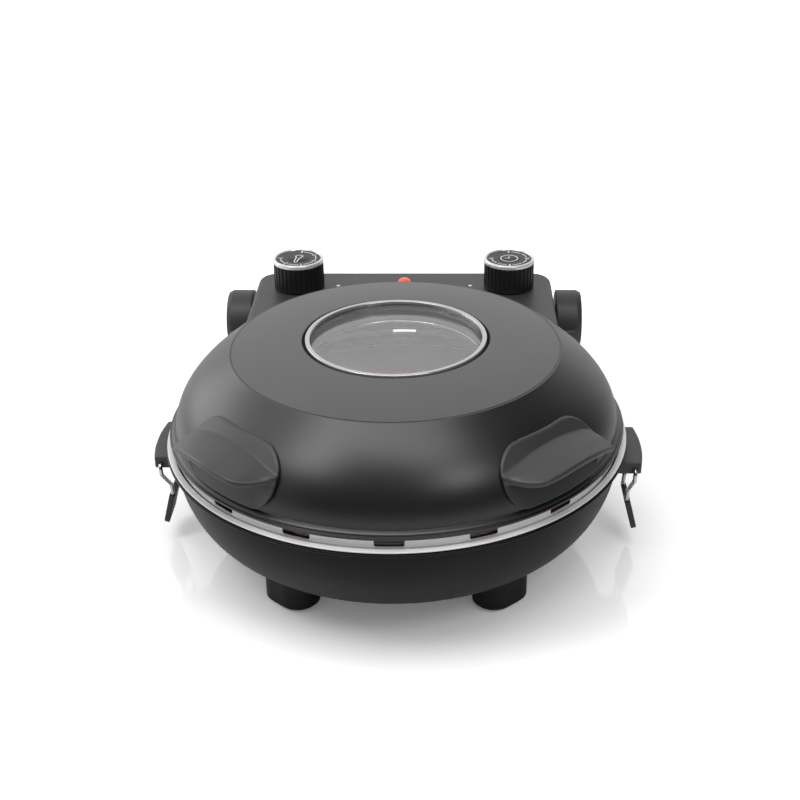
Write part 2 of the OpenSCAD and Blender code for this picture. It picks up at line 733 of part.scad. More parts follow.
module latch_lever() {
    translate([-lever_in, 0, -lever_down]) rotate([0, -tilt, 0]) difference() {
        intersection() {
            rotate([90, 0, 90]) translate([0, 0, -lever_t / 2]) linear_extrude(lever_t) lever_face();
            rotate([90, 0, 0]) translate([0, 0, -30]) linear_extrude(60) lever_profile();
        }
        for (side = [-1, 1])
            translate([0, side * leg_y, -leg_end]) cylinder(d = wire_d, h = leg_end, $fn = 32);
    }
}

module at_latch(side) {
    at_bowl() rotate([0, 0, side > 0 ? 0 : 180]) on_right(-latch_off) children();
}

module latch_left_wire() { color([0.80, 0.80, 0.80]) at_latch(-1) latch_wire(); }
module latch_right_wire() { color([0.80, 0.80, 0.80]) at_latch(1) latch_wire(); }
module latch_left_lever() { color([0.30, 0.30, 0.31]) at_latch(-1) latch_lever(); }
module latch_right_lever() { color([0.30, 0.30, 0.31]) at_latch(1) latch_lever(); }

bowl_shell();
rim_gasket();
tray_ring();
stone();
reflector_pan();
pan_spacers();
lower_heater();
lower_heater_clips();
foot_front_left();
foot_front_right();
foot_rear_left();
foot_rear_right();
foot_pads();
latch_bracket_left();
latch_bracket_right();
hinge_bracket_left();
hinge_bracket_right();
hinge_pin_left();
hinge_pin_right();
lid_shell();
lid_disc();
window_bezel();
window_glass();
window_collar();
reflector_skirt();
lid_reflector();
upper_heater();
upper_heater_clips();
handle_left();
handle_right();
control_housing();
control_floor();
pilot_lamp();
cord_gland();
knob_left_body();
knob_left_bezel();
knob_left_dial();
knob_left_shaft();
knob_right_body();
knob_right_bezel();
knob_right_dial();
knob_right_shaft();
latch_left_wire();
latch_left_lever();
latch_right_wire();
latch_right_lever();
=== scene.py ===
import math
import bmesh
import bpy
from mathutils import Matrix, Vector


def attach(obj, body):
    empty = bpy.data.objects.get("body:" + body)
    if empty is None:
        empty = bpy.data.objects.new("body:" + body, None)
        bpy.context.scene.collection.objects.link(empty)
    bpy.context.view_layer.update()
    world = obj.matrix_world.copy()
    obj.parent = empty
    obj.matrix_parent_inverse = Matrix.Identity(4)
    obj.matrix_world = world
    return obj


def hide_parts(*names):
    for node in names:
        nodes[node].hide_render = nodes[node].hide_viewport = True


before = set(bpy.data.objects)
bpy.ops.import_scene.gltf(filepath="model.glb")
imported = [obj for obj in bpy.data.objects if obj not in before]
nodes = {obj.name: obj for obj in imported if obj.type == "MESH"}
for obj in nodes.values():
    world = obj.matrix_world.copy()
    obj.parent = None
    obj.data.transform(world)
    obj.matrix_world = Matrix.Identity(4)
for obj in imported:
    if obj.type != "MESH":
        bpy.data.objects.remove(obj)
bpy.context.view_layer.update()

mm = 0.001      # every size below is in millimetres and every angle in degrees
bowlY = -20.75  # the bowl's axis stands this far in front of the origin
axisR = 0.01    # a turned outline ends this close to its axis


# One socket of a node tree. Numbers and other sockets combine with it as plain expressions.
class Shade:
    def __init__(self, tree, socket=None):
        self.tree = tree
        self.socket = socket

    def plug(self, target, value):
        if isinstance(value, Shade):
            self.tree.links.new(value.socket, target)
        else:
            target.default_value = value

    def add(self, kind, settings=None, inputs=None, out=0):
        node = self.tree.nodes.new(kind)
        for key, value in (settings or {}).items():
            setattr(node, key, value)
        for key, value in (inputs or {}).items():
            self.plug(node.inputs[key], value)
        return Shade(self.tree, node.outputs[out])

    # Another output of the same node.
    def output(self, out):
        return Shade(self.tree, self.socket.node.outputs[out])

    def maths(self, operation, a, b):
        return self.add("ShaderNodeMath", {"operation": operation}, {0: a, 1: b})

    def __add__(self, other):
        return self.maths("ADD", self, other)

    def __radd__(self, other):
        return self.maths("ADD", other, self)

    def __sub__(self, other):
        return self.maths("SUBTRACT", self, other)

    def __rsub__(self, other):
        return self.maths("SUBTRACT", other, self)

    def __mul__(self, other):
        return self.maths("MULTIPLY", self, other)

    def __rmul__(self, other):
        return self.maths("MULTIPLY", other, self)

    def __pow__(self, other):
        return self.maths("POWER", self, other)

    def __rpow__(self, other):
        return self.maths("POWER", other, self)


def newMaterial(name):
    material = bpy.data.materials.new(name)
    material.use_nodes = True
    shader = material.node_tree.nodes["Principled BSDF"]
    return material, Shade(material.node_tree), shader


def place(root):
    return root.add("ShaderNodeTexCoord", out="Object")


def grain(root, where, scale, detail=2.0, rough=0.5):
    return root.add("ShaderNodeTexNoise", None,
                    {"Vector": where, "Scale": scale, "Detail": detail, "Roughness": rough})


def smooth(root, value, low, high):
    return root.add("ShaderNodeMapRange", {"interpolation_type": "SMOOTHSTEP"},
                    {"Value": value, "From Min": low, "From Max": high})


# Sockets 0, 6 and 7 of a colour mix are its factor and its two colours, and output 2 is the result.
def mixColor(root, mask, a, b):
    ends = [c if isinstance(c, Shade) else (*c, 1) for c in (a, b)]
    return root.add("ShaderNodeMix", {"data_type": "RGBA"}, {0: mask, 6: ends[0], 7: ends[1]}, out=2)


def bump(root, height, distance, strength):
    return root.add("ShaderNodeBump", None, {"Height": height, "Distance": distance, "Strength": strength})


satinCoat = {"cloud": 18.0, "low": 0.3, "high": 0.7, "cloudRough": 0.04, "bump": 0.35}


# Satin powder coat or moulded plastic: a fine orange peel, slow changes of gloss and an uneven tone.
def satin(name, look):
    material, root, shader = newMaterial(name)
    where = place(root)
    fine = grain(root, where, look["grain"], detail=3.0)
    slow = grain(root, where, satinCoat["cloud"])
    tone = smooth(root, slow, satinCoat["low"], satinCoat["high"])
    dark = [c * (1 - look["uneven"]) for c in look["color"]]
    gloss = look["rough"] + look["roughRange"] * (fine - 0.5) + satinCoat["cloudRough"] * (slow - 0.5)
    root.plug(shader.inputs["Base Color"], mixColor(root, tone, dark, look["color"]))
    root.plug(shader.inputs["Roughness"], gloss)
    root.plug(shader.inputs["Normal"], bump(root, fine, look["relief"] * mm, satinCoat["bump"]))
    shader.inputs["Specular IOR Level"].default_value = look["specular"]
    return material


brushedSteel = {"cloud": 25.0, "cloudRough": 0.08, "relief": 0.02, "bump": 0.25}


# Brushed sheet: fine lines that run round the bowl's axis.
def brushed(name, look):
    material, root, shader = newMaterial(name)
    x = root.add("ShaderNodeSeparateXYZ", None, {0: place(root)})
    y = x.output(1) - bowlY * mm
    z = x.output(2)
    radius = (x * x + y * y) ** 0.5
    turn = root.maths("ARCTAN2", y, x)
    lines = root.add("ShaderNodeCombineXYZ", None,
                     {0: radius * look["lines"], 1: turn * look["along"], 2: z * look["lines"]})
    streak = grain(root, lines, 1.0, detail=3.0, rough=0.6)
    cloud = grain(root, place(root), brushedSteel["cloud"], detail=3.0)
    gloss = look["rough"] + look["roughRange"] * (streak - 0.5) + brushedSteel["cloudRough"] * (cloud - 0.5)
    root.plug(shader.inputs["Base Color"], mixColor(root, streak, look["dark"], look["color"]))
    root.plug(shader.inputs["Roughness"], gloss)
    root.plug(shader.inputs["Normal"], bump(root, streak, brushedSteel["relief"] * mm, brushedSteel["bump"]))
    shader.inputs["Metallic"].default_value = look["metal"]
    return material


polishedSteel = {"smear": 90.0, "middle": 0.4, "roughRange": 0.05, "dark": 0.93}


# Bright bent or turned steel with faint smears.
def polished(name, look):
    material, root, shader = newMaterial(name)
    smear = grain(root, place(root), polishedSteel["smear"], detail=3.0)
    dark = [c * polishedSteel["dark"] for c in look["color"]]
    gloss = look["rough"] + polishedSteel["roughRange"] * (smear - polishedSteel["middle"])
    root.plug(shader.inputs["Base Color"], mixColor(root, smear, dark, look["color"]))
    root.plug(shader.inputs["Roughness"], gloss)
    shader.inputs["Metallic"].default_value = 1.0
    return material


bowlPaint = {"color": (0.010, 0.010, 0.0103), "specular": 0.15, "uneven": 0.12, "rough": 0.38,
             "roughRange": 0.10, "grain": 900.0, "relief": 0.03}
lidPaint = {"color": (0.008, 0.008, 0.0085), "specular": 0.8, "uneven": 0.10, "rough": 0.36,
            "roughRange": 0.08, "grain": 1100.0, "relief": 0.03}
discPaint = {"color": (0.050, 0.050, 0.051), "specular": 1.0, "uneven": 0.08, "rough": 0.40,
             "roughRange": 0.08, "grain": 1100.0, "relief": 0.03}
handlePlastic = {"color": (0.030, 0.030, 0.031), "specular": 0.7, "uneven": 0.10, "rough": 0.44,
                 "roughRange": 0.10, "grain": 1500.0, "relief": 0.05}
housingPlastic = {"color": (0.040, 0.040, 0.041), "specular": 0.6, "uneven": 0.10, "rough": 0.45,
                  "roughRange": 0.12, "grain": 1300.0, "relief": 0.05}
bracketPlastic = {"color": (0.040, 0.040, 0.041), "specular": 0.6, "uneven": 0.10, "rough": 0.48,
                  "roughRange": 0.12, "grain": 1300.0, "relief": 0.05}
footPlastic = {"color": (0.010, 0.010, 0.0105), "specular": 0.3, "uneven": 0.15, "rough": 0.5,
               "roughRange": 0.15, "grain": 1200.0, "relief": 0.06}
blackRubber = {"color": (0.006, 0.006, 0.006), "specular": 0.2, "uneven": 0.2, "rough": 0.75,
               "roughRange": 0.15, "grain": 1600.0, "relief": 0.08}
knobPlastic = {"color": (0.012, 0.012, 0.012), "specular": 0.35, "uneven": 0.1, "rough": 0.42,
               "roughRange": 0.12, "grain": 1500.0, "relief": 0.04}
dialPlastic = {"color": (0.030, 0.030, 0.030), "specular": 0.4, "uneven": 0.1, "rough": 0.42,
               "roughRange": 0.08, "grain": 1800.0, "relief": 0.03}
leverPlastic = {"color": (0.040, 0.040, 0.041), "specular": 0.5, "uneven": 0.12, "rough": 0.45,
                "roughRange": 0.12, "grain": 1400.0, "relief": 0.05}
# Dark red for the pocket wall under the steel ring: painted red glow and painted shade, not a colour of the
# steel.
pocketPaintedGlowAndShade = {"color": (0.16, 0.014, 0.011), "specular": 0.2, "uneven": 0.4, "rough": 0.5,
              "roughRange": 0.1, "grain": 700.0, "relief": 0.04}
# The ring and its ledge are near white and hardly metallic: painted reflection of the white room in the
# steel. The ledge's copy is darker, as painted shade.
ringPaintedReflection = {"color": (0.96, 0.96, 0.96), "dark": (0.90, 0.90, 0.90), "metal": 0.05, "rough": 0.34,
             "roughRange": 0.12, "lines": 2600.0, "along": 9.0}
ledgePaintedReflection = {"color": (0.84, 0.84, 0.84), "dark": (0.77, 0.77, 0.77), "metal": 0.12, "rough": 0.36,
              "roughRange": 0.12, "lines": 2600.0, "along": 9.0}
sheetSteel = {"color": (0.34, 0.335, 0.335), "dark": (0.30, 0.295, 0.295), "metal": 0.5, "rough": 0.34,
              "roughRange": 0.12, "lines": 900.0, "along": 4.0}
# The reflector's skirt is dark and a little red: painted shade of the closed cavity, with a red tinge.
skirtPaintedShade = {"color": (0.15, 0.125, 0.125), "dark": (0.10, 0.085, 0.085), "metal": 0.5, "rough": 0.45,
              "roughRange": 0.1, "lines": 900.0, "along": 4.0}
windowTrim = {"color": (0.60, 0.60, 0.60), "dark": (0.50, 0.50, 0.50), "metal": 0.75, "rough": 0.24,
              "roughRange": 0.1, "lines": 2400.0, "along": 6.0}
knobTrim = {"color": (0.88, 0.88, 0.88), "dark": (0.80, 0.80, 0.80), "metal": 0.5, "rough": 0.25,
            "roughRange": 0.1, "lines": 900.0, "along": 6.0}
chromeTrim = {"color": (0.80, 0.80, 0.80), "rough": 0.16}
wireSteel = {"color": (0.70, 0.70, 0.71), "rough": 0.22}
pinSteel = {"color": (0.60, 0.60, 0.61), "rough": 0.28}

stone = {"color": (0.70, 0.69, 0.675), "dark": (0.60, 0.59, 0.575), "speck": 1400.0, "cloud": 22.0,
         "cloudShare": 0.6, "low": 0.38, "high": 0.62, "rough": 0.78, "roughRange": 0.2, "relief": 0.15,
         "bump": 0.4, "spot": (-9, 80.5 + bowlY, 95), "spotR": 33, "spotEdge": 1.5, "spotTint": 0.8,
         "spotColor": (0.75, 0.12, 0.12)}


# Pale fired stone with fine specks, and one round warm patch towards the back.
def makeStoneLook(name):
    material, root, shader = newMaterial(name)
    where = place(root)
    speck = grain(root, where, stone["speck"], detail=3.0, rough=0.7)
    cloud = grain(root, where, stone["cloud"], detail=4.0)
    mottle = cloud * stone["cloudShare"] + speck * (1 - stone["cloudShare"])
    base = mixColor(root, smooth(root, mottle, stone["low"], stone["high"]), stone["dark"], stone["color"])
    away = root.add("ShaderNodeVectorMath", {"operation": "DISTANCE"},
                    {0: where, 1: [v * mm for v in stone["spot"]]}, out="Value")
    low, high = stone["spotR"] - stone["spotEdge"], stone["spotR"] + stone["spotEdge"]
    spot = stone["spotTint"] * (1 - smooth(root, away, low * mm, high * mm))
    root.plug(shader.inputs["Base Color"], mixColor(root, spot, base, stone["spotColor"]))
    root.plug(shader.inputs["Roughness"], stone["rough"] + stone["roughRange"] * (speck - 0.5))
    root.plug(shader.inputs["Normal"], bump(root, speck, stone["relief"] * mm, stone["bump"]))
    return material


heater = {"color": (0.22, 0.17, 0.15), "dark": (0.09, 0.06, 0.05), "mottle": 260.0,
          "ember": (0.35, 0.010, 0.004), "hot": (0.9, 0.03, 0.01), "low": 0.25, "high": 0.75, "glow": 0.3,
          "rough": 0.5, "roughRange": 0.2, "metal": 0.6}


# Oxidised tube with a faint, uneven red glow.
def makeHeaterLook(name):
    material, root, shader = newMaterial(name)
    mottle = grain(root, place(root), heater["mottle"], detail=4.0)
    glow = smooth(root, mottle, heater["low"], heater["high"])
    root.plug(shader.inputs["Base Color"], mixColor(root, mottle, heater["dark"], heater["color"]))
    root.plug(shader.inputs["Emission Color"], mixColor(root, glow, heater["ember"], heater["hot"]))
    root.plug(shader.inputs["Roughness"], heater["rough"] + heater["roughRange"] * (mottle - 0.5))
    shader.inputs["Emission Strength"].default_value = heater["glow"]
    shader.inputs["Metallic"].default_value = heater["metal"]
    return material


glass = {"color": (0.88, 0.89, 0.89), "dark": (0.80, 0.81, 0.81), "alpha": 0.03, "mirror": 0.35, "ior": 1.5,
         "haze": 40.0, "hazeAlpha": 0.02, "rough": 0.02, "roughRange": 0.04}


# Clear glass: it lets the cavity show, and mirrors more of the room at a flat angle.
def makeGlassLook(name):
    material, root, shader = newMaterial(name)
    haze = grain(root, place(root), glass["haze"], detail=3.0)
    mirror = root.add("ShaderNodeFresnel", None, {"IOR": glass["ior"]})
    cover = glass["alpha"] + glass["mirror"] * mirror + glass["hazeAlpha"] * (haze - 0.5)
    root.plug(shader.inputs["Alpha"], cover)
    root.plug(shader.inputs["Roughness"], glass["rough"] + glass["roughRange"] * haze)
    root.plug(shader.inputs["Base Color"], mixColor(root, haze, glass["dark"], glass["color"]))
    shader.inputs["Metallic"].default_value = 1.0
    return material


lens = {"color": (0.85, 0.04, 0.015), "dark": (0.62, 0.012, 0.006), "ember": (0.9, 0.02, 0.01),
        "hot": (1.0, 0.16, 0.05), "lowZ": 142.5, "topZ": 147.0, "ribs": 500.0, "rough": 0.16,
        "roughRange": 0.1, "glow": 0.55, "coat": 0.6}


# Red lamp lens, lit from inside, and lighter and brighter towards its top as a painted highlight.
def makeLensLook(name):
    material, root, shader = newMaterial(name)
    height = root.add("ShaderNodeSeparateXYZ", None, {0: place(root)}, out=2)
    top = smooth(root, height, lens["lowZ"] * mm, lens["topZ"] * mm)
    ribs = grain(root, place(root), lens["ribs"])
    # The lighter colour and glow towards the top are a painted highlight.
    root.plug(shader.inputs["Base Color"], mixColor(root, top, lens["dark"], lens["color"]))
    root.plug(shader.inputs["Emission Color"], mixColor(root, top, lens["ember"], lens["hot"]))
    root.plug(shader.inputs["Roughness"], lens["rough"] + lens["roughRange"] * ribs)
    shader.inputs["Emission Strength"].default_value = lens["glow"]
    shader.inputs["Coat Weight"].default_value = lens["coat"]
    return material


whiteInk = {"color": (0.85, 0.85, 0.85), "shine": 0.0}
# The red print's small emission is painted glow.
redInk = {"color": (0.80, 0.06, 0.04), "shine": 0.1}
inkFilm = {"grain": 900.0, "dark": 0.92, "rough": 0.5, "roughRange": 0.2}


# Printed or moulded-in colour with a little grain; its emission, where a look gives one, is painted glow.
def printed(name, look):
    material, root, shader = newMaterial(name)
    ink = grain(root, place(root), inkFilm["grain"])
    dark = [c * inkFilm["dark"] for c in look["color"]]
    root.plug(shader.inputs["Base Color"], mixColor(root, ink, dark, look["color"]))
    root.plug(shader.inputs["Roughness"], inkFilm["rough"] + inkFilm["roughRange"] * (ink - 0.5))
    shader.inputs["Emission Color"].default_value = (*look["color"], 1)
    shader.inputs["Emission Strength"].default_value = look["shine"]
    return material


looks = {
    "bowl": satin("bowlPaint", bowlPaint),
    "lid": satin("lidPaint", lidPaint),
    "disc": satin("discPaint", discPaint),
    "handle": satin("handlePlastic", handlePlastic),
    "housing": satin("housingPlastic", housingPlastic),
    "bracket": satin("bracketPlastic", bracketPlastic),
    "foot": satin("footPlastic", footPlastic),
    "rubber": satin("blackRubber", blackRubber),
    "knob": satin("knobPlastic", knobPlastic),
    "dial": satin("dialPlastic", dialPlastic),
    "lever": satin("leverPlastic", leverPlastic),
    "glow": satin("pocketPaintedGlowAndShade", pocketPaintedGlowAndShade),
    "ring": brushed("ringPaintedReflection", ringPaintedReflection),
    "ledge": brushed("ledgePaintedReflection", ledgePaintedReflection),
    "sheet": brushed("sheetSteel", sheetSteel),
    "skirt": brushed("skirtPaintedShade", skirtPaintedShade),
    "trim": brushed("windowTrim", windowTrim),
    "knobTrim": brushed("knobTrim", knobTrim),
    "chrome": polished("chromeTrim", chromeTrim),
    "wire": polished("wireSteel", wireSteel),
    "pin": polished("pinSteel", pinSteel),
    "stone": makeStoneLook("bakingStone"),
    "heater": makeHeaterLook("heaterTube"),
    "glass": makeGlassLook("windowGlass"),
    "lamp": makeLensLook("lampLens"),
    "white": printed("whitePrint", whiteInk),
    "red": printed("redPrint", redInk),
}

nodeLooks = {
    "bowl": ["bowl_shell"],
    "rubber": ["rim_gasket", "foot_pads", "cord_gland"],
    "ring": ["tray_ring"],
    "stone": ["stone"],
    "sheet": ["reflector_pan", "pan_spacers", "lower_heater_clips", "window_collar", "lid_reflector",
              "upper_heater_clips"],
    "skirt": ["reflector_skirt"],
    "heater": ["lower_heater", "upper_heater"],
    "foot": ["foot_front_left", "foot_front_right", "foot_rear_left", "foot_rear_right"],
    "bracket": ["latch_bracket_left", "latch_bracket_right", "hinge_bracket_left", "hinge_bracket_right"],
    "pin": ["hinge_pin_left", "hinge_pin_right", "knob_left_shaft", "knob_right_shaft"],
    "lid": ["lid_shell"],
    "disc": ["lid_disc"],
    "chrome": ["window_bezel", "knob_left_bezel", "knob_right_bezel"],
    "glass": ["window_glass"],
    "handle": ["handle_left", "handle_right"],
    "housing": ["control_housing", "control_floor"],
    "lamp": ["pilot_lamp"],
    "knob": ["knob_left_body", "knob_right_body"],
    "dial": ["knob_left_dial", "knob_right_dial"],
    "wire": ["latch_left_wire", "latch_right_wire"],
    "lever": ["latch_left_lever", "latch_right_lever"],
}
for look, names in nodeLooks.items():
    for name in names:
        slots = nodes[name].data.materials
        slots.clear()
        slots.append(looks[look])
print("materials on", sum(len(names) for names in nodeLooks.values()), "parts")


# Makes an object of a mesh and gives it its look and body, and hides the nodes that it replaces.
def finishPiece(name, mesh, body, look, replaced=(), sharp=35):
    piece = bpy.data.objects.new(name, mesh)
    bpy.context.scene.collection.objects.link(piece)
    mesh.materials.append(looks[look])
    mesh.shade_smooth()
    mesh.set_sharp_from_angle(angle=math.radians(sharp))
    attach(piece, body)
    if replaced:
        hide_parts(*replaced)
    return piece


weld = 0.01  # points closer than this become one


def meshFrom(name, points, faces):
    mesh = bpy.data.meshes.new(name)
    mesh.from_pydata([[v * mm for v in p] for p in points], [], faces)
    mesh.validate()
    tool = bmesh.new()
    tool.from_mesh(mesh)
    bmesh.ops.remove_doubles(tool, verts=tool.verts, dist=weld * mm)
    bmesh.ops.recalc_face_normals(tool, faces=tool.faces)
    tool.to_mesh(mesh)
    tool.free()
    return mesh


# A closed outline of radius and height turned round an upright axis, by default the bowl's.
def turned(name, outline, steps, centre=(0, bowlY)):
    count = len(outline)
    points, faces = [], []
    for i in range(steps):
        turn = 2 * math.pi * i / steps
        points += [(centre[0] + r * math.cos(turn), centre[1] + r * math.sin(turn), z) for r, z in outline]
        for j in range(count):
            a, b = i * count + j, i * count + (j + 1) % count
            c, d = (i + 1) % steps * count + (j + 1) % count, (i + 1) % steps * count + j
            faces.append((a, b, c, d))
    return meshFrom(name, points, faces)


# A piece turned round the bowl's axis.
def turnPiece(name, outline, body, look, replaced=(), steps=256, sharp=35):
    finishPiece(name, turned(name, outline, steps), body, look, replaced, sharp)


# Points of an outline along an arc, from one angle to another.
def arc(r0, z0, radius, start, end, steps=8):
    turns = [math.radians(start + (end - start) * i / steps) for i in range(steps + 1)]
    return [(r0 + radius * math.cos(t), z0 + radius * math.sin(t)) for t in turns]


bowl = {"topR": 170.0, "flatR": 124.0, "topZ": 95.8, "drop": 65.8, "wall": 2.0, "steps": 60,
        "beadR": 175.5, "beadZ": 97.9, "bead": 1.2, "beadSteps": 12, "gap": 0.9,
        "fillet": [(1.2, 0), (0.35, -0.2)]}  # out from the wall and up from the bead's lower edge


# A rounded wall with a rolled bead at its top and a flat floor.
def makeBowl():
    floorZ = bowl["topZ"] - bowl["drop"]
    wide = bowl["topR"] - bowl["flatR"]
    turns = [math.pi / 2 * i / bowl["steps"] for i in range(bowl["steps"] + 1)]
    outer = [(bowl["flatR"] + wide * math.cos(t), bowl["topZ"] - bowl["drop"] * math.sin(t)) for t in turns]
    inner = [(r - bowl["wall"], max(z, floorZ + bowl["wall"])) for r, z in reversed(outer)]
    size = bowl["bead"]
    roll = arc(bowl["beadR"] - size, bowl["beadZ"] - size, size, 90, -90, bowl["beadSteps"])
    low = bowl["beadZ"] - 2 * size
    fillet = [(bowl["topR"] + r, low + z) for r, z in bowl["fillet"]]
    below = [p for p in outer if p[1] < low - bowl["gap"]]
    outline = roll + fillet + below + [(axisR, floorZ), (axisR, floorZ + bowl["wall"])] + inner
    turnPiece("bowlSkin", outline, "base", "bowl", ["bowl_shell"])


makeBowl()
print("bowl turned")

ring = {"wallR": 168.0, "wall": 0.6, "footZ": 99.6, "topZ": 106.6, "slot": 20.4, "slotLow": 99.9,
        "slotHigh": 105.9, "corner": 1.7, "bends": 6, "middle": 0.8, "spacing": 2,
        "slots": [22 * i for i in range(-7, 8)] + [180]}  # degrees from the front


# Columns of the wall: angle, rise of the slot's corner, and whether the slot goes on to the next column.
def slotColumns():
    half = math.degrees(ring["slot"] / 2 / ring["wallR"])
    corner = math.degrees(ring["corner"] / ring["wallR"])
    turns = [math.radians(90 * k / ring["bends"]) for k in range(ring["bends"] + 1)]
    end = [(half - corner * (1 - math.sin(t)), ring["corner"] * (1 - math.cos(t))) for t in turns]
    middle = [(half * ring["middle"] * k / 4, 0.0) for k in range(-3, 4)]
    slot = [(-b, rise) for b, rise in reversed(end)] + middle + end
    columns = []
    for i, centre in enumerate(ring["slots"]):
        columns += [(centre + b, rise, j < len(slot) - 1) for j, (b, rise) in enumerate(slot)]
        last = i == len(ring["slots"]) - 1
        ahead = 360 + columns[0][0] if last else ring["slots"][i + 1] - half
        plain = ahead - centre - half
        count = max(4, round(plain / ring["spacing"]))
        columns += [(centre + half + plain * k / count, 0.0, False) for k in range(1, count)]
    return columns


# Each column has four points outside and four inside, from the wall's foot to its top.
def makeRingWall():
    columns = slotColumns()
    points, faces = [], []
    for angle, rise, cut in columns:
        turn = math.radians(angle)
        for r in (ring["wallR"], ring["wallR"] - ring["wall"]):
            for z in (ring["footZ"], ring["slotLow"] + rise, ring["slotHigh"] - rise, ring["topZ"]):
                points.append((r * math.sin(turn), bowlY - r * math.cos(turn), z))
    for i, (angle, rise, cut) in enumerate(columns):
        a, b = i * 8, (i + 1) % len(columns) * 8
        before = columns[i - 1][2]
        for row in (0, 1, 2):
            if row != 1 or not cut:
                faces.append((a + row, b + row, b + row + 1, a + row + 1))
                faces.append((b + row + 4, a + row + 4, a + row + 5, b + row + 5))
        if cut:
            faces += [(a + 1, b + 1, b + 5, a + 5), (b + 2, a + 2, a + 6, b + 6)]
        if cut != before:
            faces.append((a + 1, a + 2, a + 6, a + 5) if before else (a + 2, a + 1, a + 5, a + 6))
        faces += [(a + 3, b + 3, b + 7, a + 7), (b, a, a + 4, b + 4)]
    finishPiece("ringWall", meshFrom("ringWall", points, faces), "base", "ring", ["tray_ring"])


# The three pairs are the groove's inner and outer edges, out from its own radius.
ledge = {"outR": 174.7, "inR": 167.2, "topZ": 100.0, "thick": 1.1, "roll": 0.6, "foot": 1.6,
         "grooveR": 169.6, "deep": 2.2, "mouth": (-0.95, 0.75), "floor": (-0.85, 0.65), "under": (-1.0, 0.6)}
pocket = {"outline": [(167.2, 99.5), (167.2, 96.4), (157.4, 93.4), (157.4, 94.6), (163.8, 96.4)],
          "rimR": 156.75, "rimZ": 95.2, "rim": 0.75}
grooveShade = {"r": 169.5, "z": 98.1, "round": 0.8, "half": 0.7}


# The rolled edge of a sheet as an outline, a circle but for a short gap.
def rolledEdge(r, z, size):
    return arc(r, z, size, 0, 330, 11)


# The ring's ledge with its groove and a black strip in the groove for its painted shade, and the pocket wall
# down to the stone.
def makeRingLedge():
    r, top, low = ledge["grooveR"], ledge["topZ"], ledge["topZ"] - ledge["thick"]
    floorZ, underZ = top - ledge["deep"], low - ledge["deep"]
    outline = [(r + ledge["mouth"][1], top)]
    outline += arc(ledge["outR"] - ledge["roll"], top - ledge["roll"], ledge["roll"], 90, -60, 10)
    outline.append((ledge["outR"] - ledge["foot"], low))
    outline += [(r + ledge["under"][1], underZ), (r + ledge["under"][0], underZ)]
    outline += [(ledge["inR"], low), (ledge["inR"], top), (r + ledge["mouth"][0], top)]
    outline += [(r + ledge["floor"][0], floorZ), (r + ledge["floor"][1], floorZ)]
    turnPiece("ringLedge", outline, "base", "ledge", ["tray_ring"])
    # The pocket wall's dark red is painted red glow and painted shade.
    turnPiece("ringPocket", pocket["outline"], "base", "glow", ["tray_ring"])
    rim = rolledEdge(pocket["rimR"], pocket["rimZ"], pocket["rim"])
    turnPiece("pocketRim", rim, "base", "ring", ["tray_ring"])
    # A black strip in the groove: painted shade.
    strip = arc(grooveShade["r"], grooveShade["z"], grooveShade["round"], 10, 170, 6)
    strip += [(grooveShade["r"] - grooveShade["half"], floorZ), (grooveShade["r"] + grooveShade["half"], floorZ)]
    turnPiece("ringGrooveShade", strip, "base", "rubber")


makeRingWall()
makeRingLedge()
print("steel ring drawn")

# The step and the cove are out from the dome's foot and up from the ledge, and the cove has a radius.
lid = {"lipR": 172.0, "lipZ": 107.0, "lipWide": 8.1, "ledgeZ": 111.6, "domeR": 166.9, "domeH": 58.3,
       "crownR": 121.8, "bulge": 2.06, "shoulder": 1.075, "edge": 1.2, "wall": 2.0, "inset": 2.8,
       "flange": 8.0, "steps": 70, "start": 1.1, "step": (1.0, 0.25), "cove": (0.7, 1.0, 0.7)}
lipCorners = [  # in from the lip's radius, below the ledge, radius, first and last angle
    (0.7, 3.9, 0.7, -90, 0),
    (0.6, 3.2, 0.6, 0, 90),
    (1.3, 2.0, 0.6, -90, -180),
    (2.5, 1.5, 0.6, 0, 60),
]


# The dome's outer radius at a height.
def domeRadius(z):
    share = min(max((z - lid["ledgeZ"]) / lid["domeH"], 0), 1)
    return lid["crownR"] + (lid["domeR"] - lid["crownR"]) * (1 - share ** lid["bulge"]) ** lid["shoulder"]


# The lip, the step up to the dome, the dome, and the flange that the disc lies on.
def makeLidShell():
    top = lid["ledgeZ"] + lid["domeH"] - lid["edge"]
    start = lid["ledgeZ"] + lid["start"]
    heights = [start + (top - start) * i / lid["steps"] for i in range(lid["steps"] + 1)]
    dome = [(domeRadius(z), z) for z in heights]
    inner = [(r - lid["inset"], min(z, top - lid["wall"])) for r, z in reversed(dome)]
    outline = [(lid["lipR"] - lid["lipWide"], lid["lipZ"])]
    for inset, drop, radius, first, last in lipCorners:
        outline += arc(lid["lipR"] - inset, lid["ledgeZ"] - drop, radius, first, last, 4)
    outline.append((lid["domeR"] + lid["step"][0], lid["ledgeZ"] + lid["step"][1]))
    out, up, radius = lid["cove"]
    outline += arc(lid["domeR"] + out, lid["ledgeZ"] + up, radius, -110, -180, 4) + dome
    seatR = lid["crownR"] - lid["flange"]
    outline += [(seatR, top), (seatR, top - lid["wall"])] + inner
    turnPiece("lidSkin", outline, "lid", "lid", ["lid_shell"])


disc = {"outR": 121.7, "inR": 69.7, "edgeZ": 169.05, "topZ": 175.6, "seatZ": 168.0, "round": 0.35,
        "foot": 0.2, "hollow": 1.6, "lip": (0.5, 0.25), "drop": 0.9, "rebate": 1.3, "rebateLow": 170.2,
        "rebateTop": 173.4}


